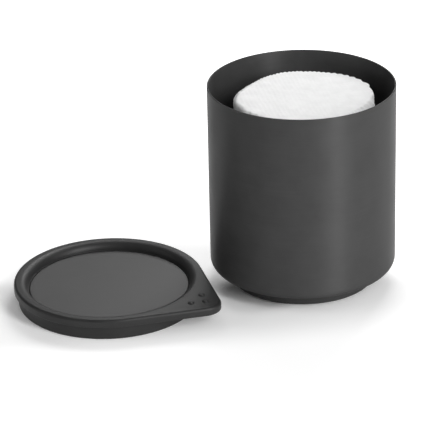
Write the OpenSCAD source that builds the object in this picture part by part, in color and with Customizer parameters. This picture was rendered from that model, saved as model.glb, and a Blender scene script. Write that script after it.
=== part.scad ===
// Cotton pad holder: a round steel pot on a smaller plinth, filled with round cotton pads,
// and its lid, which has a pull tab with three touch dots and lies on the table beside the pot.
// Millimetres. The pot stands on Z = 0 with its axis on the Z axis. +Z is up and -Y is the front.

/* [Pot] */
// Outside diameter of the steel sleeve
pot_d = 77; // [72:0.5:95]
// Height of the steel sleeve, from its turned-in lip to its mouth
sleeve_h = 79.6; // [50:0.2:120]
// Thickness of the steel
steel_t = 0.7; // [0.5:0.1:1]
// Outside radius of the rounded corner at the foot of the sleeve
corner_r = 3.5; // [2:0.1:4.5]

/* [Base moulding] */
// Diameter of the plinth that the pot stands on
plinth_d = 60; // [46:0.5:63]
// Height of the sleeve's lip above the table
plinth_h = 6.2; // [4.4:0.1:12]
// Wall of the plinth
plinth_wall = 2.2; // [1.6:0.1:4]
// Thickness of the inside floor
floor_t = 2; // [1.2:0.1:2.6]
// Number of ribs under the floor
rib_count = 12; // [3:1:16]
// Thickness of a rib
rib_t = 1.6; // [1:0.1:3]
// Diameter of the hub where the ribs meet
hub_d = 9; // [6:0.5:16]
// Outside diameter of the ring rib that ties the ribs together
rib_ring_d = 33; // [24:0.5:44]
// How far the snap bead stands past the edge of the sleeve's lip
snap_grip = 0.25; // [0.1:0.05:0.5]
// Height of the snap bead
snap_h = 0.7; // [0.4:0.1:1]

/* [Non-slip foot] */
// Thickness of the rubber foot
foot_t = 1.6; // [1:0.1:3]
// How far the foot stands out below the plinth
foot_out = 0.5; // [0.2:0.1:1]
// Plinth wall left round the foot
foot_inset = 1.1; // [0.6:0.1:1.5]

/* [Lid] */
// How far the lid's flange stands out past the sleeve
flange_out = 0.6; // [0:0.1:2]
// Thickness of the flange and of the pull tab
flange_t = 3.5; // [2.8:0.1:5]
// Height of the skirt that plugs into the pot
skirt_h = 5.8; // [4.5:0.05:12]
// Wall of the skirt
skirt_t = 2.2; // [1.2:0.1:3]
// Radius of the rounded top edge
edge_r = 1.2; // [0.6:0.1:1.8]
// Width of the flat crest of the rim
crest_w = 1.5; // [0.4:0.1:3]
// Radius where the rim rolls over into the recess
roll_r = 3.2; // [2:0.1:3.2]
// Radius of the small hollow at the foot of the recess wall
cove_r = 0.2; // [0.1:0.1:0.4]
// Thickness of the ledge that carries the inset disc
ledge_t = 1.4; // [1:0.1:2]
// Width of that ledge
ledge_w = 3.4; // [2:0.1:8]
// Thickness of the inset disc
panel_t = 1.15; // [0.8:0.05:1.5]

/* [Pull tab] */
// Reach of the tab's tip from the centre of the lid
tab_reach = 53; // [48:0.5:70]
// Radius of the tab's tip
tip_r = 7.5; // [4:0.5:9]
// Diameter of a touch dot
dot_d = 2.7; // [1.5:0.1:4]
// Height of a touch dot
dot_h = 0.7; // [0.3:0.1:1.2]
// Distance from the tab's tip to the nearest dot
dot_inset = 6.7; // [4:0.05:7]
// Distance from that dot back to the other two
dot_back = 4.25; // [3:0.05:6]
// Distance between the other two dots
dot_pitch = 8.2; // [5:0.1:12]

/* [Cotton pads] */
// Diameter of a pad
pad_d = 57; // [45:0.5:60]
// Thickness of a pad in the stack
pad_t = 4.7; // [3.8:0.1:7]
// Radius of a pad's soft edge
pad_edge_r = 2; // [1:0.1:2.2]
// Height of the crown on a pad's upper face
pad_crown = 0.3; // [0.1:0.1:0.5]
// How far each pad lies off the axis of the stack
pad_stray = 0.5; // [0:0.1:1.5]
// Least gap between the stack and the closed lid
pad_headroom = 0.2; // [0.1:0.1:3]

/* [Where the lid lies] */
// Gap between the pot and the flange of the lid
park_gap = 5; // [3:0.2:60]
// Direction from the pot to the lid
park_bearing = 192.9; // [180:0.1:260]
// Direction of the pull tab
tab_bearing = -31.1; // [-60:0.1:-20]

/* [Fits] */
// Gap between the lid's skirt and the inside of the sleeve
lid_clear = 0.4; // [0.2:0.1:1]
// Gap between the inset disc and the wall of its recess
panel_clear = 0.15; // [0.1:0.05:0.4]
// Gap between the plinth and the edge of the sleeve's lip
lip_clear = 0.2; // [0.1:0.05:0.4]
// Gap between the edge of the inside floor and the sleeve
floor_clear = 0.4; // [0.2:0.1:1]
// Gap round the rubber foot in its recess
foot_clear = 0.1; // [0.05:0.05:0.3]
// Gap between the snap bead and the lip above it
snap_clear = 0.1; // [0.05:0.05:0.3]

/* [Hidden] */
$fn = 128;
bite = 0.3;

pot_r = pot_d / 2;
bore_r = pot_r - steel_t;
lip_z = plinth_h;
mouth_z = lip_z + sleeve_h;
bend_r = corner_r - steel_t;

plinth_r = plinth_d / 2;
lip_r = plinth_r + lip_clear;
seat_z = lip_z + steel_t;
floor_z = seat_z + floor_t;
floor_low_r = pot_r - corner_r - floor_clear;
floor_drop = max(0, lip_z + corner_r - floor_z);
floor_r = pot_r - corner_r + sqrt(pow(bend_r - floor_clear, 2) - pow(floor_drop, 2));
foot_r = plinth_r - foot_inset;
foot_top_z = foot_t;

flange_r = pot_r + flange_out;
skirt_r = bore_r - lid_clear;
lid_h = skirt_h + flange_t;
skirt_in_r = skirt_r - skirt_t;
panel_z = lid_h - roll_r - cove_r;
panel_r = flange_r - edge_r - crest_w - roll_r - cove_r;
panel_low_z = panel_z - panel_t;
ledge_r = panel_r - ledge_w;

tab_len = tab_reach - tip_r;

park_r = pot_r + flange_r + park_gap;
lid_x = park_r * cos(park_bearing);
lid_y = park_r * sin(park_bearing);

stack_room = mouth_z - skirt_h - pad_headroom - pad_crown - floor_z;
pad_count = floor(stack_room / pad_t);
pad_r = pad_d / 2;

// Name of the pad that is the given number up from the floor
function pad_name(i) = str("cotton_pad_", i < 10 ? "0" : "", i);

// Points on an arc about a centre, from one angle to another
function arc(x, y, r, from, to, steps) =
    [for (i = [0:steps]) let (t = from + (to - from) * i / steps) [x + r * cos(t), y + r * sin(t)]];

// Steel sleeve: straight wall, round mouth, rounded corner and a lip turned in under it
module pot_sleeve() {
    edge = steel_t / 2;
    color([0.20, 0.205, 0.21])
    rotate_extrude()
    polygon(concat(
        [[lip_r, lip_z]],
        arc(pot_r - corner_r, lip_z + corner_r, corner_r, -90, 0, 10),
        arc(pot_r - edge, mouth_z - edge, edge, 0, 180, 8),
        arc(pot_r - corner_r, lip_z + corner_r, bend_r, 0, -90, 10),
        [[lip_r, seat_z]]
    ));
}

// Moulded base: the floor inside the sleeve and the plinth below it, snapped into the lip
module base_moulding() {
    color([0.14, 0.142, 0.145])
    union() {
        rotate_extrude()
        polygon(base_profile());
        for (i = [0:rib_count - 1])
            rotate([0, 0, i * 360 / rib_count])
            translate([0, -rib_t / 2, foot_top_z])
            cube([plinth_r - plinth_wall + bite, rib_t, seat_z - foot_top_z + bite]);
        translate([0, 0, foot_top_z])
        cylinder(r = hub_d / 2, h = seat_z - foot_top_z + bite);
        translate([0, 0, foot_top_z])
        difference() {
            cylinder(r = rib_ring_d / 2, h = seat_z - foot_top_z + bite);
            translate([0, 0, -1])
            cylinder(r = rib_ring_d / 2 - rib_t, h = seat_z - foot_top_z + 1);
        }
    }
}

// Half section of the base, from the middle of the floor out to its edge and down the plinth
function base_profile() = concat(
    [[0, seat_z], [0, floor_z]],
    [
        [floor_r, floor_z],
        [floor_low_r, seat_z],
        [plinth_r, seat_z],
        [plinth_r, lip_z - snap_clear],
        [lip_r + snap_grip, lip_z - snap_clear - snap_h * 0.3],
        [lip_r + snap_grip, lip_z - snap_clear - snap_h * 0.5],
        [plinth_r, lip_z - snap_clear - snap_h]
    ],
    arc(plinth_r - foot_inset / 2, foot_out + foot_inset / 2, foot_inset / 2, 0, -90, 5),
    [
        [foot_r, foot_out],
        [foot_r, foot_top_z],
        [plinth_r - plinth_wall, foot_top_z],
        [plinth_r - plinth_wall, seat_z]
    ]
);

// Rubber disc let into the bottom of the plinth
module non_slip_foot() {
    r = foot_r - foot_clear;
    color([0.09, 0.09, 0.09])
    rotate_extrude()
    polygon([[0, 0], [r - foot_out / 2, 0], [r, foot_out / 2], [r, foot_top_z], [0, foot_top_z]]);
}

// Flange and tab in one plate, with a rounded edge all the way round
module lid_plate() {
    hull() {
        plate_disc(flange_r, 160);
        translate([tab_len, 0, 0]) plate_disc(tip_r, 80);
    }
}

// Round plate with the rounded edge of the flange
module plate_disc(r, sides) {
    rotate_extrude($fn = sides)
    polygon(concat(
        [[0, skirt_h], [0, lid_h]],
        arc(r - edge_r, lid_h - edge_r, edge_r, 90, 0, 8),
        arc(r - edge_r / 3, skirt_h + edge_r / 3, edge_r / 3, 0, -90, 3)
    ));
}

// Half section of the recess, with the hollow at the foot of its wall and the rolled-over rim
function recess_profile() = concat(
    [
        [0, panel_low_z],
        [panel_r, panel_low_z],
        [panel_r, panel_z]
    ],
    arc(panel_r, panel_z + cove_r, cove_r, -90, 0, 8),
    arc(panel_r + cove_r + roll_r, lid_h - roll_r, roll_r, 180, 90, 8),
    [
        [panel_r + cove_r + roll_r, lid_h + 1],
        [0, lid_h + 1]
    ]
);

// Half section of the skirt and of the ledge that carries the inset disc
function skirt_profile() = concat(
    [
        [ledge_r, panel_low_z - ledge_t],
        [ledge_r, skirt_h + bite],
        [skirt_r - bite, skirt_h + bite],
        [skirt_r, skirt_h]
    ],
    arc(skirt_r - skirt_t / 4, skirt_t / 4, skirt_t / 4, 0, -90, 4),
    [
        [skirt_in_r + skirt_t / 4, 0],
        [skirt_in_r, skirt_t / 4],
        [skirt_in_r, panel_low_z - ledge_t]
    ]
);

// One raised touch dot with a rounded top
module touch_dot() {
    dome = dot_h * 0.7;
    translate([0, 0, lid_h - bite])
    rotate_extrude()
    polygon(concat(
        [[0, 0], [dot_d / 2, 0]],
        [for (t = [0:15:90]) [dot_d / 2 - dome + dome * cos(t), bite + dot_h - dome + dome * sin(t)]],
        [[0, bite + dot_h]]
    ));
}

// Lid moulding: skirt, ledge, raised rim, pull tab and the three dots in one piece
module lid_moulding() {
    dot_x = tab_reach - dot_inset;
    color([0.23, 0.235, 0.24])
    translate([lid_x, lid_y, 0])
    rotate([0, 0, tab_bearing])
    difference() {
        union() {
            lid_plate();
            rotate_extrude() polygon(skirt_profile());
            translate([dot_x, 0, 0]) touch_dot();
            translate([dot_x - dot_back, dot_pitch / 2, 0]) touch_dot();
            translate([dot_x - dot_back, -dot_pitch / 2, 0]) touch_dot();
        }
        rotate_extrude() polygon(recess_profile());
    }
}

// Flat disc that lies on the ledge in the recess of the lid and closes its middle
module lid_inset_disc() {
    r = panel_r - panel_clear;
    color([0.25, 0.255, 0.26])
    translate([lid_x, lid_y, panel_low_z])
    rotate_extrude()
    polygon([[0, 0], [r, 0], [r, panel_t - 0.1], [r - 0.1, panel_t], [0, panel_t]]);
}

// One cotton pad, counted up from the floor: flat below, crowned above, with a soft edge
module cotton_pad(i) {
    z = floor_z + (i - 1) * pad_t;
    turn = i * 137.5;
    low = pad_edge_r;
    crown_h = i == pad_count ? pad_crown : 0;
    top = pad_t + crown_h;
    color([0.96, 0.96, 0.95])
    translate([pad_stray * cos(turn), pad_stray * sin(turn), z])
    rotate_extrude()
    polygon(concat(
        [[0, 0]],
        arc(pad_r - low, low, low, -90, 0, 6),
        arc(pad_r - low, pad_t - low, low, 0, 84, 6),
        crown_h > 0 ? [for (k = [1:5]) let (s = (pad_r - low) * (1 - k / 5)) [s, top - crown_h * pow(s / pad_r, 2)]]
                    : [[pad_r - low, pad_t], [0, top]]
    ));
}

pot_sleeve();
base_moulding();
non_slip_foot();
lid_moulding();
lid_inset_disc();
for (i = [1:pad_count])
    cotton_pad(i);
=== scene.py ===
import math

import bpy
import numpy as np
from mathutils import Matrix, Vector, noise


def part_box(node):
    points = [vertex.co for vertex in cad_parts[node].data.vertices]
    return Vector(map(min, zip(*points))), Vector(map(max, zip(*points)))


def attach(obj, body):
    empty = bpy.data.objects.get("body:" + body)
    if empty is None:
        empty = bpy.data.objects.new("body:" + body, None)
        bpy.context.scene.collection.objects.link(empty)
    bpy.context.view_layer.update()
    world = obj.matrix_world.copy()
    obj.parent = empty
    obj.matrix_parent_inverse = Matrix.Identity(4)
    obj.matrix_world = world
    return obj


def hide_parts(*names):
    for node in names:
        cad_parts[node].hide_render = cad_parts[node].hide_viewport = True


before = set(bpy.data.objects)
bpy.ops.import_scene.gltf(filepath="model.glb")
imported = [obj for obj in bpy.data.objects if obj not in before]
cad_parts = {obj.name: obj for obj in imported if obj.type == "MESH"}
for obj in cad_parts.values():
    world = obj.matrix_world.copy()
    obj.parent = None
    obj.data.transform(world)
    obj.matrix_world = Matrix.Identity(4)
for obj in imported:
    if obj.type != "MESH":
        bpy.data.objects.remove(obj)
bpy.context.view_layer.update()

MM = 0.001
TAU = 2 * math.pi

# Edges that turn by more than this, in degrees, are drawn sharp
SHARP_ANGLE = 40
NOTHING_SHARP = 180

# Camera, as the photograph was taken
CAMERA_DISTANCE = 1090.7 * MM
CAMERA_PITCH = math.radians(24.606)
CAMERA_ROLL = math.radians(-1.315)
CAMERA_TARGET = Vector((-37.45, 0, 29.43)) * MM
CAMERA_LENS = 223.41
CAMERA_CLIP = (0.05, 20)
SENSOR_WIDTH = 36

# Lid, in mm. Its outline is the hull of the flange and the tip of the tab.
TAB_BEARING = math.radians(-31.1)
FLANGE_R = 39.1
TIP_R = 7.5
TAB_LENGTH = 44.9
LID_H = 9.3
EDGE_R = 1.2
LOW_EDGE_R = EDGE_R / 3
SKIRT_H = 5.8
SKIRT_R = 37.4
SKIRT_T = 2.2
SKIRT_FOOT_R = SKIRT_T / 4
ROLL_R = 3.2
COVE_R = 0.2
PANEL_R = 33.0
PANEL_T = 1.15
LEDGE_T = 1.4
LEDGE_W = 3.4

# Touch dots on the tab, in mm
DOT_R = 1.35
DOT_H = 0.7
DOT_ROOT = 0.5
DOT_INSET = 6.2
DOT_BACK = 4.25
DOT_PITCH = 8.2
DOT_FULLNESS = (0.8, 0.9)

# Inset disc, in mm, with the rings of its flat top as shares of its radius
DISC_EDGE_R = 0.4
DISC_GROOVE = 0.12
DISC_RINGS = (0.95, 0.8, 0.6, 0.4, 0.2, 0.08)

# Steps round the curves of the lid's parts
TIP_STEPS = 28
TAB_SIDE_STEPS = 12
FLANGE_STEPS = 200
COVE_STEPS = 4
ROLL_STEPS = 20
EDGE_STEPS = 12
LOW_EDGE_STEPS = 5
SKIRT_FOOT_STEPS = 6
RIM_SPLITS = (0.25, 0.5, 0.75)
UNDER_SPLITS = (0.33, 0.67, 1.0)
DOT_ROWS = 8
DOT_COLUMNS = 32
DISC_COLUMNS = 256
DISC_LOW_STEPS = 5
DISC_TOP_STEPS = 8

# Cotton pads, in mm: how they are stacked
PAD_COUNT = 15
PAD_R = 28.5
PAD_T = 4.7
PAD_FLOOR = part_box("cotton_pad_01")[0].z / MM
PAD_GAP = 0.12
PAD_LIFT = 0.35
PAD_SWAY = 0.12
SWAY_STEPS = (2.4, 1.9)
TOP_LEVEL = 80.5
TOP_TILT = (-0.027, 0.004)
TOP_SHIFT = (1.0, 0.5)

# Cotton pads: outline of the top one at even angles, and of the others by lobes
TOP_OUTLINE = (27.9, 30.9, 30.0, 28.4, 26.9, 25.2, 27.8, 28.6, 28.6, 28.4, 26.3, 25.6)
TOP_UNDERSIDE = 0.5
PAD_INSET = 0.3
LOBE_COUNT = 5
LOBE_HEIGHT = 0.35
LOBE_TURN = math.radians(35)
LOBE_STEP = 1.7

# Cotton pads: pressed ribs, puffs and tufts of the faces
RIB_PITCH = 1.8
RIB_TURN = 101
RIB_TURN_STEP = 37
RIB_WANDER = 0.5
RIB_WANDER_SIZE = 9
RIB_HEIGHT = 0.022
RIB_HEIGHT_LEFT = 0.026
RIB_FADE = (5, -25)
PUFF_HEIGHT, PUFF_SIZE, PUFF_SEED = 0.2, 8, 2.3
TUFT_HEIGHT, TUFT_SIZE, TUFT_SEED = 0.05, 1.1, 4.1
FACE_FADE = (0.93, 1.0)
UNDERSIDE_RELIEF = -0.5

# Cotton pads: crimped, fibrous edge
PAD_EDGE = 1.3
PAD_INNER = 1 - PAD_EDGE / PAD_R
EDGE_WAVE, EDGE_WAVE_RATE, EDGE_SEED = 0.25, 9, 3.1
NICK_WAVE, NICK_RATE, NICK_SEED = 0.25, 26, 5.7
CRIMP = 0.16
TOP_CRIMP = 0.2
FRAY, FRAY_RATE, FRAY_HEIGHT_RATE = 0.2, 14, 1.6
PAD_EDGE_STEPS = 14
PAD_EDGE_FULLNESS = 0.6
OUTLINE_BLEND_END = 0.85
FINE_GRID = 150
COARSE_GRID = 60
NEAR_ZERO = 1e-9

# Dark surfaces as name: darkest and lightest tone, roughness, grain size and depth in mm, IOR
SURFACES = {
    "sleeve_coat": ((0.038, 0.056), 0.5, 0.35, 0.006, 1.37),
    "base_plastic": ((0.028, 0.041), 0.5, 0.3, 0.01, 1.4),
    "foot_rubber": ((0.012, 0.02), 0.75, 0.5, 0.02, 1.4),
    "disc_plastic": ((0.032, 0.055), 0.54, 0.25, 0.01, 1.47),
    "lid_plastic": ((0.014, 0.025), 0.49, 0.3, 0.008, 1.41),
}
CLOUD_RATE = 90
CLOUD_SHARE = 0.55
CLOUD_ROUGHNESS = 0.55
FINE_RATE = 2.2
FINE_SHARE = 0.45
GRAIN_ROUGHNESS = 0.6
NOISE_DETAIL = 3.0
GLOSS_SPREAD = 0.03
NOISE_RANGE = (0.3, 0.7)

# Brushing round the sleeve under its coat, whose gloss falls off towards the sides of the
# sleeve: between two values of 1 - cosine of the view angle
BRUSHED = "sleeve_coat"
BRUSHING = 0.85
BRUSHING_TURN = 0.25
STREAK_PITCH = 0.6
STREAK_STRETCH = (0.03, 0.03, 1)
GLOSS_LEVEL = 0.5
GLOSS_LEVEL_AT_EDGE = 0.22
GLOSS_FALL = (0.3, 0.65)
GLOSS_BLEND = 0.5

# Cotton
COTTON_TONES = (0.79, 0.85)
COTTON_CLOUD_RATE = 220
FIBRE_RATE = 900
FIBRE_DETAIL = 4.0
FIBRE_ROUGHNESS = 0.65
FIBRE_STRETCH = (1, 0.35, 1)
FIBRE_DEPTH = 0.12
COTTON_SOCKETS = {
    "Roughness": 0.95,
    "Specular IOR Level": 0.2,
    "Subsurface Weight": 1.0,
    "Subsurface Radius": (1, 1, 1),
    "Subsurface Scale": 4 * MM,
    "Sheen Weight": 0.25,
    "Sheen Roughness": 0.6,
}

# Floor: painted light of its own, fitted to the tones of the photograph's floor. It rises away
# from a long oval round the objects and again towards the back, which paints the floor darker
# near the objects, and it leaves out a spot at the pot's left foot as a painted contact shadow,
# where the photograph's contact shadow is deepest.
FLOOR_HALF = 3.0
FLOOR_DROP = 0.1 * MM
FLOOR_COLOUR = 0.9
GLOW_EVEN = 0.165
GLOW_ROUND = 0.262
GLOW_ROUND_RANGE = (43.4 * MM, 66.7 * MM)
GLOW_BACK = 0.237
GLOW_BACK_RANGE = (-10.5 * MM, 3.8 * MM)
GLOW_CENTRE = Vector((-160, -11, 0)) * MM
GLOW_SQUEEZE = (0.246, 1, 0)
# Painted contact shadow: a spot at the pot's left foot where the floor's painted light is left
# out
PAINTED_SHADOW_CENTRE = Vector((-21, -19, 0)) * MM
PAINTED_SHADOW_SQUEEZE = (1, 1, 0)
PAINTED_SHADOW_RANGE = (11 * MM, 20.5 * MM)

# World, and softboxes as name, azimuth, elevation, distance, width, height, watts
WORLD_LEVEL = 0.13
LIGHT_TARGET = Vector((-0.02, 0, 0.03))
LIGHTS = (
    ("back_high", 180, 45, 1.2, 0.8, 0.5, 2.1),
    ("back_near", 166, 42, 0.5, 0.25, 0.25, 1.25),
    ("key_low", 46, 4, 1.2, 0.35, 0.12, 2.0),
    ("key_high", 40, 55, 1.2, 0.3, 0.5, 1.1),
    ("strip_1", 8, 28, 1.2, 0.2, 0.7, 0.7),
    ("strip_2", 32, 28, 1.2, 0.2, 0.7, 2.8),
    ("strip_3", 41, 28, 1.2, 0.2, 0.7, 6.7),
    ("strip_4", 54, 28, 1.2, 0.2, 0.7, 0.2),
    ("left_high", -50, 68, 1.2, 0.6, 0.6, 0.5),
    ("left_low", -80, 12, 1.2, 0.7, 0.4, 0.5),
    ("left_side", -80, 35, 1.2, 0.4, 0.4, 0.75),
)


# Shared helpers


def smoothstep(a, b, x):
    t = np.clip((x - a) / (b - a), 0, 1)
    return t * t * (3 - 2 * t)


def mesh_object(name, points_mm, faces, sharp_angle=SHARP_ANGLE):
    mesh = bpy.data.meshes.new(name)
    mesh.from_pydata([tuple(p) for p in np.asarray(points_mm) * MM], [], faces)
    mesh.validate()
    mesh.update()
    for polygon in mesh.polygons:
        polygon.use_smooth = True
    mesh.set_sharp_from_angle(angle=math.radians(sharp_angle))
    obj = bpy.data.objects.new(name, mesh)
    bpy.context.scene.collection.objects.link(obj)
    return obj


def circle(x, y, r, z, columns):
    angles = [TAU * k / columns for k in range(columns)]
    return [(x + r * math.cos(a), y + r * math.sin(a), z) for a in angles]


def band(first, second):
    """Quads between two closed loops of vertex numbers."""
    count = len(first)
    return [
        (first[i], second[i], second[(i + 1) % count], first[(i + 1) % count])
        for i in range(count)
    ]


# Materials


class Nodes:
    """A material with a Principled shader, and short ways to add and link its nodes."""

    def __init__(self, name):
        self.material = bpy.data.materials.new(name)
        self.material.use_nodes = True
        self.tree = self.material.node_tree
        self.tree.nodes.clear()
        self.coords = self.add("ShaderNodeTexCoord")
        self.shader = self.add("ShaderNodeBsdfPrincipled")
        output = self.add("ShaderNodeOutputMaterial")
        self.link(self.shader.outputs["BSDF"], output.inputs["Surface"])

    def add(self, kind, **settings):
        node = self.tree.nodes.new(kind)
        for key, value in settings.items():
            setattr(node, key, value)
        return node

    def link(self, a, b):
        self.tree.links.new(a, b)

    def feed(self, value, socket):
        self.link(value, self.shader.inputs[socket])

    def fix(self, socket, value):
        self.shader.inputs[socket].default_value = value

    def noise(self, per_metre, detail, roughness=0.5, stretch=(1, 1, 1)):
        mapping = self.add("ShaderNodeMapping")
        mapping.inputs["Scale"].default_value = stretch
        self.link(self.coords.outputs["Object"], mapping.inputs["Vector"])
        node = self.add("ShaderNodeTexNoise")
        node.inputs["Scale"].default_value = per_metre
        node.inputs["Detail"].default_value = detail
        node.inputs["Roughness"].default_value = roughness
        self.link(mapping.outputs["Vector"], node.inputs["Vector"])
        return node.outputs["Fac"]

    def spread(self, value, low, high, given=NOISE_RANGE):
        node = self.add("ShaderNodeMapRange")
        node.inputs["From Min"].default_value = given[0]
        node.inputs["From Max"].default_value = given[1]
        node.inputs["To Min"].default_value = low
        node.inputs["To Max"].default_value = high
        self.link(value, node.inputs["Value"])
        return node.outputs["Result"]

    def smooth_rise(self, value, given, height):
        node = self.add("ShaderNodeMapRange", interpolation_type="SMOOTHSTEP")
        node.inputs["From Min"].default_value = given[0]
        node.inputs["From Max"].default_value = given[1]
        node.inputs["To Max"].default_value = height
        self.link(value, node.inputs["Value"])
        return node.outputs["Result"]

    def maths(self, operation, *values):
        node = self.add("ShaderNodeMath", operation=operation)
        for socket, value in zip(node.inputs, values):
            if isinstance(value, (int, float)):
                socket.default_value = value
            else:
                self.link(value, socket)
        return node.outputs["Value"]

    def greys(self, value, tones):
        node = self.add("ShaderNodeMix", data_type="RGBA")
        for socket, tone in zip(("A", "B"), tones):
            node.inputs[socket].default_value = (tone, tone, tone, 1)
        self.link(value, node.inputs["Factor"])
        return node.outputs["Result"]

    def bump(self, value, distance_mm):
        node = self.add("ShaderNodeBump")
        node.inputs["Strength"].default_value = 1.0
        node.inputs["Distance"].default_value = distance_mm * MM
        self.link(value, node.inputs["Height"])
        return node.outputs["Normal"]

    def distance(self, centre, squeeze):
        """Distance from a centre, with each axis scaled by its squeeze."""
        place = self.add("ShaderNodeMapping", vector_type="POINT")
        place.inputs["Location"].default_value = [-c * k for c, k in zip(centre, squeeze)]
        place.inputs["Scale"].default_value = squeeze
        self.link(self.coords.outputs["Object"], place.inputs["Vector"])
        length = self.add("ShaderNodeVectorMath", operation="LENGTH")
        self.link(place.outputs["Vector"], length.inputs["Vector"])
        return length.outputs["Value"]


def brush(n):
    """Brush a surface round its own axis; returns the streaks."""
    tangent = n.add("ShaderNodeTangent", direction_type="RADIAL", axis="Z")
    n.feed(tangent.outputs["Tangent"], "Tangent")
    n.fix("Anisotropic", BRUSHING)
    n.fix("Anisotropic Rotation", BRUSHING_TURN)
    weight = n.add("ShaderNodeLayerWeight")
    weight.inputs["Blend"].default_value = GLOSS_BLEND
    level = n.spread(weight.outputs["Facing"], GLOSS_LEVEL, GLOSS_LEVEL_AT_EDGE, GLOSS_FALL)
    n.feed(level, "Specular IOR Level")
    return n.noise(1 / (STREAK_PITCH * MM), NOISE_DETAIL, GRAIN_ROUGHNESS, STREAK_STRETCH)


def dark_surface(name):
    """Dark coat, plastic or rubber: fine grain, and slow variation in tone and gloss."""
    tones, rough, grain_mm, grain_depth_mm, ior = SURFACES[name]
    n = Nodes(name)
    cloud = n.noise(CLOUD_RATE, NOISE_DETAIL, CLOUD_ROUGHNESS)
    if name == BRUSHED:
        fine = brush(n)
    else:
        fine = n.noise(FINE_RATE / (grain_mm * MM), 1.0)
    tone = n.maths("MULTIPLY_ADD", fine, FINE_SHARE, n.spread(cloud, 0.0, CLOUD_SHARE))
    n.feed(n.greys(tone, tones), "Base Color")
    n.feed(n.spread(cloud, rough - GLOSS_SPREAD, rough + GLOSS_SPREAD), "Roughness")
    grain = n.noise(1 / (grain_mm * MM), NOISE_DETAIL, GRAIN_ROUGHNESS)
    n.feed(n.bump(grain, grain_depth_mm), "Normal")
    n.fix("IOR", ior)
    return n.material


def cotton_material():
    n = Nodes("cotton")
    fibre = n.noise(FIBRE_RATE, FIBRE_DETAIL, FIBRE_ROUGHNESS, FIBRE_STRETCH)
    cloud = n.noise(COTTON_CLOUD_RATE, NOISE_DETAIL)
    n.feed(n.greys(n.spread(cloud, 0, 1), COTTON_TONES), "Base Color")
    for socket, value in COTTON_SOCKETS.items():
        n.fix(socket, value)
    n.feed(n.bump(fibre, FIBRE_DEPTH), "Normal")
    return n.material


def painted_floor_glow(n):
    """The floor's painted light, which only the camera and reflections see, with a painted
    contact shadow at the pot's left foot.
    """
    away = n.distance(GLOW_CENTRE, GLOW_SQUEEZE)
    # distance from the painted contact shadow's spot at the pot's left foot
    clear = n.distance(PAINTED_SHADOW_CENTRE, PAINTED_SHADOW_SQUEEZE)
    split = n.add("ShaderNodeSeparateXYZ")
    n.link(n.coords.outputs["Object"], split.inputs["Vector"])
    # painted light rising away from the objects and towards the back, so the floor near them is
    # painted darker
    around = n.smooth_rise(away, GLOW_ROUND_RANGE, GLOW_ROUND)
    behind = n.smooth_rise(split.outputs["Y"], GLOW_BACK_RANGE, GLOW_BACK)
    glow = n.maths("ADD", n.maths("ADD", around, behind), GLOW_EVEN)
    # the glow falls to nothing near that spot, which paints the contact shadow
    glow = n.maths("MULTIPLY", glow, n.smooth_rise(clear, PAINTED_SHADOW_RANGE, 1))
    path = n.add("ShaderNodeLightPath")
    seen = n.maths("MAXIMUM", path.outputs["Is Camera Ray"], path.outputs["Is Glossy Ray"])
    seen = n.maths("MAXIMUM", seen, path.outputs["Is Transmission Ray"])
    return n.maths("MULTIPLY", glow, seen)


def floor_material():
    n = Nodes("floor")
    n.fix("Base Color", (FLOOR_COLOUR, FLOOR_COLOUR, FLOOR_COLOUR, 1))
    n.fix("Roughness", 1.0)
    n.fix("Specular IOR Level", 0.0)
    n.fix("Emission Color", (1, 1, 1, 1))
    n.feed(painted_floor_glow(n), "Emission Strength")
    return n.material


# Lid


def arc(x, z, r, start, end, steps):
    angles = [math.radians(start + (end - start) * i / steps) for i in range(steps + 1)]
    return [(x + r * math.cos(a), z + r * math.sin(a)) for a in angles]


def tab_side(share, direction):
    """A place on the tab's straight side, from the flange at 0 to the tip at 1."""
    return TAB_LENGTH * share, FLANGE_R + share * (TIP_R - FLANGE_R), direction


def plate_outline():
    """The flange and tab from above: each point's centre, its radius and its direction."""
    turn = math.acos((FLANGE_R - TIP_R) / TAB_LENGTH)
    round_turn = TAU - 2 * turn
    tip = [(TAB_LENGTH, TIP_R, -turn + 2 * turn * i / TIP_STEPS) for i in range(TIP_STEPS)]
    back = [tab_side(1 - i / TAB_SIDE_STEPS, turn) for i in range(TAB_SIDE_STEPS)]
    flange = [(0, FLANGE_R, turn + round_turn * i / FLANGE_STEPS) for i in range(FLANGE_STEPS)]
    front = [tab_side(i / TAB_SIDE_STEPS, -turn) for i in range(TAB_SIDE_STEPS)]
    return tip + back + flange + front


def plate(outline, inset, z):
    """The outline moved inwards, as a loop of points."""
    return [
        (c + (r - inset) * math.cos(a), (r - inset) * math.sin(a), z)
        for c, r, a in outline
    ]


def ring(bearings, r, z):
    return [(r * math.cos(a), r * math.sin(a), z) for a in bearings]


def between(a, b, t):
    return [tuple(p + (q - p) * t for p, q in zip(u, v)) for u, v in zip(a, b)]


def recess_profile():
    """From the inside of the ledge, up the recess wall and the roll, to the rim's crest."""
    panel_z = LID_H - ROLL_R - COVE_R
    panel_low = panel_z - PANEL_T
    ledge_r = PANEL_R - LEDGE_W
    crest_r = PANEL_R + COVE_R + ROLL_R
    profile = [(ledge_r, panel_low - LEDGE_T), (ledge_r, panel_low), (PANEL_R, panel_low)]
    profile += arc(PANEL_R, panel_z + COVE_R, COVE_R, -90, 0, COVE_STEPS)
    profile += arc(crest_r, LID_H - ROLL_R, ROLL_R, 180, 90, ROLL_STEPS)[1:]
    return profile


def skirt_profile():
    """Round the skirt's foot and up inside, to the underside of the ledge."""
    inner_r = SKIRT_R - SKIRT_T
    foot_r = SKIRT_FOOT_R
    profile = arc(SKIRT_R - foot_r, foot_r, foot_r, 0, -90, SKIRT_FOOT_STEPS)
    profile += arc(inner_r + foot_r, foot_r, foot_r, 270, 180, SKIRT_FOOT_STEPS)
    profile.append((inner_r, LID_H - ROLL_R - COVE_R - PANEL_T - LEDGE_T))
    return profile


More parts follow.
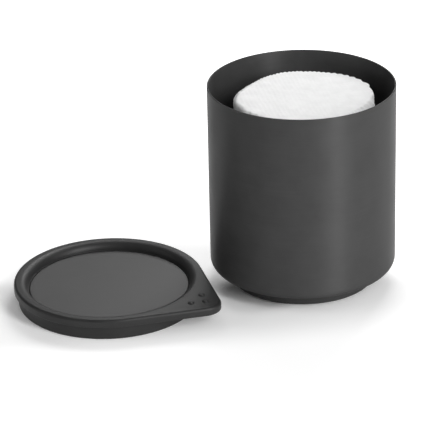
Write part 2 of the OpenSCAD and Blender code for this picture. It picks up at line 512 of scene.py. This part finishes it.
def lid_rings():
    """Closed loops round the lid, from the ledge over the rim and back under the skirt."""
    outline = plate_outline()
    bearings = [math.atan2(y, x) for x, y, z in plate(outline, 0, 0)]
    rings = [ring(bearings, r, z) for r, z in recess_profile()]
    crest = rings[-1]
    rim = plate(outline, EDGE_R, LID_H)
    rings += [between(crest, rim, t) for t in RIM_SPLITS]
    edge = arc(0, LID_H - EDGE_R, EDGE_R, 90, 0, EDGE_STEPS)
    rings += [plate(outline, EDGE_R - x, z) for x, z in edge]
    low_edge = arc(0, SKIRT_H + LOW_EDGE_R, LOW_EDGE_R, 0, -90, LOW_EDGE_STEPS)
    rings += [plate(outline, LOW_EDGE_R - x, z) for x, z in low_edge]
    under = rings[-1]
    root = ring(bearings, SKIRT_R, SKIRT_H)
    rings += [between(under, root, t) for t in UNDER_SPLITS]
    rings += [ring(bearings, r, z) for r, z in skirt_profile()]
    return rings


def touch_dot(x, y):
    """A domed dot that reaches down into the tab: points and faces."""
    points = [(x, y, LID_H + DOT_H)]
    for i in range(1, DOT_ROWS + 1):
        t = math.pi / 2 * i / DOT_ROWS
        r = DOT_R * math.sin(t) ** DOT_FULLNESS[0]
        z = LID_H + DOT_H * math.cos(t) ** DOT_FULLNESS[1]
        points += circle(x, y, r, z, DOT_COLUMNS)
    points += circle(x, y, DOT_R, LID_H - DOT_ROOT, DOT_COLUMNS)
    faces = [(0, 1 + k, 1 + (k + 1) % DOT_COLUMNS) for k in range(DOT_COLUMNS)]
    loops = [
        range(1 + i * DOT_COLUMNS, 1 + (i + 1) * DOT_COLUMNS)
        for i in range(DOT_ROWS + 1)
    ]
    for first, second in zip(loops, loops[1:]):
        faces += band(first, second)
    faces.append(tuple(reversed(loops[-1])))
    return points, faces


def boolean_union(obj, points, faces):
    cutter = mesh_object("dot_shape", points, faces)
    cutter.matrix_world = obj.matrix_world.copy()
    bpy.context.view_layer.update()
    modifier = obj.modifiers.new("dot", "BOOLEAN")
    modifier.operation = "UNION"
    modifier.solver = "EXACT"
    modifier.object = cutter
    graph = bpy.context.evaluated_depsgraph_get()
    joined = bpy.data.meshes.new_from_object(obj.evaluated_get(graph))
    obj.modifiers.clear()
    obj.data = joined
    bpy.data.objects.remove(cutter)


def lid_placed(points):
    """Points of the lid's own frame, turned and moved to where it lies."""
    low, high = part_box("lid_inset_disc")
    centre = (low + high) / 2
    turn = Matrix.Rotation(TAB_BEARING, 3, "Z")
    shift = Vector((centre.x, centre.y, 0)) / MM
    return [turn @ Vector(p) + shift for p in points]


def make_lid(material):
    """The lid moulding: one closed surface, with the three dots joined to it."""
    rings = lid_rings()
    columns = len(rings[0])
    loops = [range(i * columns, (i + 1) * columns) for i in range(len(rings))]
    faces = []
    for first, second in zip(loops, loops[1:] + loops[:1]):
        faces += [tuple(reversed(f)) for f in band(first, second)]
    lid = mesh_object("lid_body", lid_placed([p for loop in rings for p in loop]), faces)
    dot_x = TAB_LENGTH + TIP_R - DOT_INSET
    dot_y = DOT_PITCH / 2
    for x, y in ((dot_x, 0), (dot_x - DOT_BACK, dot_y), (dot_x - DOT_BACK, -dot_y)):
        dot_points, dot_faces = touch_dot(x, y)
        boolean_union(lid, lid_placed(dot_points), dot_faces)
    lid.data.set_sharp_from_angle(angle=math.radians(SHARP_ANGLE))
    lid.data.materials.clear()
    lid.data.materials.append(material)
    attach(lid, "lid")
    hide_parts("lid_moulding")


def disc_profile(outer, bottom, top):
    """From the disc's underside round its edge and over its flat top."""
    rounded = outer - DISC_EDGE_R
    profile = [(rounded, bottom)]
    profile += arc(rounded, bottom + DISC_EDGE_R, DISC_EDGE_R, -90, 0, DISC_LOW_STEPS)[1:]
    profile += arc(rounded, top - DISC_EDGE_R, DISC_EDGE_R, 0, 90, DISC_TOP_STEPS)
    profile += [(outer * s, top) for s in DISC_RINGS]
    return profile


def make_disc(material):
    """The inset disc: a turned plate with a rounded edge, just inside the recess wall."""
    low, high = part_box("lid_inset_disc")
    centre = (low + high) / 2 / MM
    outer = (high.x - low.x) / 2 / MM - DISC_GROOVE
    profile = disc_profile(outer, low.z / MM, high.z / MM)
    columns = DISC_COLUMNS
    points = [p for r, z in profile for p in circle(centre.x, centre.y, r, z, columns)]
    faces = []
    for i in range(len(profile) - 1):
        a = i * columns
        b = a + columns
        faces += [
            (a + k, a + (k + 1) % columns, b + (k + 1) % columns, b + k)
            for k in range(columns)
        ]
    faces.append(tuple(reversed(range(columns))))
    faces.append(tuple(range(len(points) - columns, len(points))))
    disc = mesh_object("lid_disc", points, faces)
    disc.data.materials.append(material)
    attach(disc, "lid")
    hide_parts("lid_inset_disc")


# Cotton pads


def square_to_disc(a, b):
    """A place in the square from -1 to 1, moved to the unit disc."""
    if abs(a) < NEAR_ZERO and abs(b) < NEAR_ZERO:
        return 0.0, 0.0
    if abs(a) > abs(b):
        r, t = a, math.pi / 4 * b / a
    else:
        r, t = b, math.pi / 2 - math.pi / 4 * a / b
    return r * math.cos(t), r * math.sin(t)


def disc_grid(n):
    """An even grid of quads over the unit disc: points, faces and the outer loop in order."""
    steps = [2 * i / (n - 1) - 1 for i in range(n)]
    points = np.array([square_to_disc(a, b) for a in steps for b in steps])
    last = n - 1
    faces = [
        (i * n + j, (i + 1) * n + j, (i + 1) * n + j + 1, i * n + j + 1)
        for i in range(last)
        for j in range(last)
    ]
    loop = [i * n for i in range(last)]
    loop += [last * n + j for j in range(last)]
    loop += [(last - i) * n + last for i in range(last)]
    loop += [last - j for j in range(last)]
    return points, faces, loop


def noise_round(angle, rate, level):
    """Noise along a circle, which closes on itself."""
    return noise.noise(Vector((rate * math.cos(angle), rate * math.sin(angle), level)))


def noise_over(x, y, size, level):
    return np.array([noise.noise(Vector((a / size, b / size, level))) for a, b in zip(x, y)])


def stack_share(number):
    """How far up the stack a pad is, with the low ones kept close to the solids."""
    return (number / PAD_COUNT) ** 2


def layer_height(number, x, y):
    """Height of the surface between one pad and the next, in the pad's own x and y."""
    share = stack_share(number)
    level = PAD_FLOOR + number * PAD_T + share * (TOP_LEVEL - PAD_FLOOR - PAD_COUNT * PAD_T)
    tilted = level + share * (TOP_TILT[0] * x + TOP_TILT[1] * y)
    if number == 0:
        return tilted
    lean_x = math.sin(number * SWAY_STEPS[0])
    lean_y = math.cos(number * SWAY_STEPS[1])
    return tilted + PAD_SWAY * (lean_x * x + lean_y * y) / PAD_R


def smooth_loop(values, angle):
    """A smooth closed curve through values given at even steps of the angle."""
    waves = np.fft.rfft(values) / len(values)
    out = np.full(len(angle), waves[0].real)
    for k in range(1, len(waves)):
        part = waves[k] * np.exp(1j * k * angle)
        out += part.real * (1 if 2 * k == len(values) else 2)
    return out


def rib_wave(x, y, number):
    """The pressed ribs that run across a pad, from -1 to 1, with a slight wander."""
    turn = RIB_TURN if number == PAD_COUNT else RIB_TURN + RIB_TURN_STEP * number
    turn = math.radians(turn)
    across = x * math.sin(turn) - y * math.cos(turn)
    wander = RIB_WANDER * noise_over(x, y, RIB_WANDER_SIZE, number)
    return np.cos(TAU * (across + wander) / RIB_PITCH)


def pad_outline(number, angle):
    """Radii of a pad's upper and lower edge towards an angle: out of round and crimped."""
    edge = np.array([noise_round(a, EDGE_WAVE_RATE, EDGE_SEED * number) for a in angle])
    nick = np.array([noise_round(a, NICK_RATE, NICK_SEED * number) for a in angle])
    crimp = rib_wave(PAD_R * np.cos(angle), PAD_R * np.sin(angle), number)
    rough = EDGE_WAVE * edge + NICK_WAVE * nick + CRIMP * crimp
    if number == PAD_COUNT:
        upper = smooth_loop(TOP_OUTLINE, angle) + rough + TOP_CRIMP * crimp
        return upper, PAD_R + TOP_UNDERSIDE + rough
    phase = LOBE_COUNT * (angle - LOBE_TURN) + LOBE_STEP * (PAD_COUNT - number)
    even = PAD_R - PAD_INSET + LOBE_HEIGHT * np.cos(phase) + rough
    return even, even


def relief_height(x, y, number):
    """Ribs, clearer towards the left, with the soft unevenness of cotton."""
    height = RIB_HEIGHT + RIB_HEIGHT_LEFT * smoothstep(*RIB_FADE, x)
    puff = PUFF_HEIGHT * noise_over(x, y, PUFF_SIZE, PUFF_SEED * number)
    tuft = TUFT_HEIGHT * noise_over(x, y, TUFT_SIZE, TUFT_SEED * number)
    return rib_wave(x, y, number) * height + puff + tuft


def pad_sheets(number, grid, angle, outlines):
    """Upper and lower face of a pad, as two grids of points."""
    reach = np.hypot(grid[:, 0], grid[:, 1])
    fade = 1 - smoothstep(*FACE_FADE, reach)
    upper = (outlines[0], number, -2 * PAD_GAP, 1)
    lower = (outlines[1], number - 1, PAD_LIFT, UNDERSIDE_RELIEF)
    sheets = []
    for outline, layer, lift, relief in (upper, lower):
        x = reach * PAD_INNER * outline * np.cos(angle)
        y = reach * PAD_INNER * outline * np.sin(angle)
        z = layer_height(layer, x, y) + lift + relief * relief_height(x, y, number) * fade
        sheets.append(np.column_stack((x, y, z)))
    return sheets


def edge_loop(step, angle, outlines, heights, loop):
    """One loop of points round the pad's edge, from the upper face at step 0 downwards."""
    t = math.pi * step / PAD_EDGE_STEPS
    out = math.sin(t) ** PAD_EDGE_FULLNESS
    drop = (1 - math.cos(t)) / 2
    blend = smoothstep(0.0, OUTLINE_BLEND_END, drop)
    upper, lower = outlines
    top, bottom = heights
    points = []
    for v in loop:
        a = angle[v]
        z = top[v] + (bottom[v] - top[v]) * drop
        fray = FRAY * noise_round(a, FRAY_RATE, z * FRAY_HEIGHT_RATE)
        outline = upper[v] + (lower[v] - upper[v]) * blend
        r = outline * (PAD_INNER + (1 - PAD_INNER) * out) + fray * out
        points.append((r * math.cos(a), r * math.sin(a), z))
    return points


def pad_mesh(number):
    """Points and faces of a pad: two quilted faces, joined round a soft edge."""
    grid, quads, loop = disc_grid(FINE_GRID if number >= PAD_COUNT - 1 else COARSE_GRID)
    angle = np.arctan2(grid[:, 1], grid[:, 0])
    outlines = pad_outline(number, angle)
    sheets = pad_sheets(number, grid, angle, outlines)
    heights = [sheet[:, 2] for sheet in sheets]
    points = [tuple(p) for sheet in sheets for p in sheet]
    faces = list(quads) + [tuple(len(grid) + v for v in reversed(q)) for q in quads]
    before = loop
    for step in range(1, PAD_EDGE_STEPS):
        start = len(points)
        points += edge_loop(step, angle, outlines, heights, loop)
        here = range(start, len(points))
        faces += band(before, here)
        before = here
    faces += band(before, [len(grid) + v for v in loop])
    return np.array(points), faces


def make_pad(number, material):
    name = f"cotton_pad_{number:02d}"
    low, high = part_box(name)
    centre = (low + high) / 2 / MM
    share = stack_share(number)
    shift = np.array([centre.x + share * TOP_SHIFT[0], centre.y + share * TOP_SHIFT[1], 0])
    points, faces = pad_mesh(number)
    pad = mesh_object(f"pad_{number:02d}", points + shift, faces, NOTHING_SHARP)
    pad.data.materials.append(material)
    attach(pad, "top_pad" if number == PAD_COUNT else "pad_stack")
    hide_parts(name)


# Floor, world, lights and camera


def make_floor():
    """A white floor that takes the objects' shadow and has painted light of its own, with a
    painted contact shadow.
    """
    half = FLOOR_HALF
    corners = [(-half, -half, 0), (half, -half, 0), (half, half, 0), (-half, half, 0)]
    mesh = bpy.data.meshes.new("floor")
    mesh.from_pydata(corners, [], [(0, 1, 2, 3)])
    mesh.materials.append(floor_material())
    floor = bpy.data.objects.new("floor", mesh)
    floor.location.z = -FLOOR_DROP
    bpy.context.scene.collection.objects.link(floor)


def make_world():
    world = bpy.data.worlds.new("studio")
    bpy.context.scene.world = world
    world.use_nodes = True
    tree = world.node_tree
    tree.nodes.clear()
    background = tree.nodes.new("ShaderNodeBackground")
    background.inputs["Strength"].default_value = WORLD_LEVEL
    output = tree.nodes.new("ShaderNodeOutputWorld")
    tree.links.new(background.outputs["Background"], output.inputs["Surface"])


def softbox(name, azimuth, elevation, distance, width, height, watts):
    """An area light that looks at the objects; azimuth 0 is the camera's side, 90 the right."""
    light = bpy.data.lights.new(name, "AREA")
    light.shape = "RECTANGLE"
    light.size = width
    light.size_y = height
    light.energy = watts
    obj = bpy.data.objects.new(name, light)
    bpy.context.scene.collection.objects.link(obj)
    a = math.radians(azimuth)
    e = math.radians(elevation)
    back = Vector((math.sin(a) * math.cos(e), -math.cos(a) * math.cos(e), math.sin(e)))
    obj.location = LIGHT_TARGET + back * distance
    obj.rotation_mode = "QUATERNION"
    obj.rotation_quaternion = (-back).to_track_quat("-Z", "Y")


def make_camera():
    data = bpy.data.cameras.new("camera")
    data.lens = CAMERA_LENS
    data.sensor_width = SENSOR_WIDTH
    data.sensor_fit = "HORIZONTAL"
    data.clip_start, data.clip_end = CAMERA_CLIP
    camera = bpy.data.objects.new("camera", data)
    bpy.context.scene.collection.objects.link(camera)
    forward = Vector((0, math.cos(CAMERA_PITCH), -math.sin(CAMERA_PITCH)))
    right = Vector((1, 0, 0))
    up = right.cross(forward)
    tilted_right = right * math.cos(CAMERA_ROLL) + up * math.sin(CAMERA_ROLL)
    tilted_up = up * math.cos(CAMERA_ROLL) - right * math.sin(CAMERA_ROLL)
    axes = Matrix((tilted_right, tilted_up, -forward)).transposed()
    position = CAMERA_TARGET - forward * CAMERA_DISTANCE
    camera.matrix_world = Matrix.Translation(position) @ axes.to_4x4()
    bpy.context.scene.camera = camera


def dress(node, material):
    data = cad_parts[node].data
    data.materials.clear()
    data.materials.append(material)


def build():
    dress("pot_sleeve", dark_surface("sleeve_coat"))
    dress("base_moulding", dark_surface("base_plastic"))
    dress("non_slip_foot", dark_surface("foot_rubber"))
    make_disc(dark_surface("disc_plastic"))
    make_lid(dark_surface("lid_plastic"))
    cotton = cotton_material()
    for number in range(1, PAD_COUNT + 1):
        make_pad(number, cotton)
    make_floor()
    make_world()
    for light in LIGHTS:
        softbox(*light)
    make_camera()
    bpy.context.scene.view_settings.view_transform = "Standard"


build()
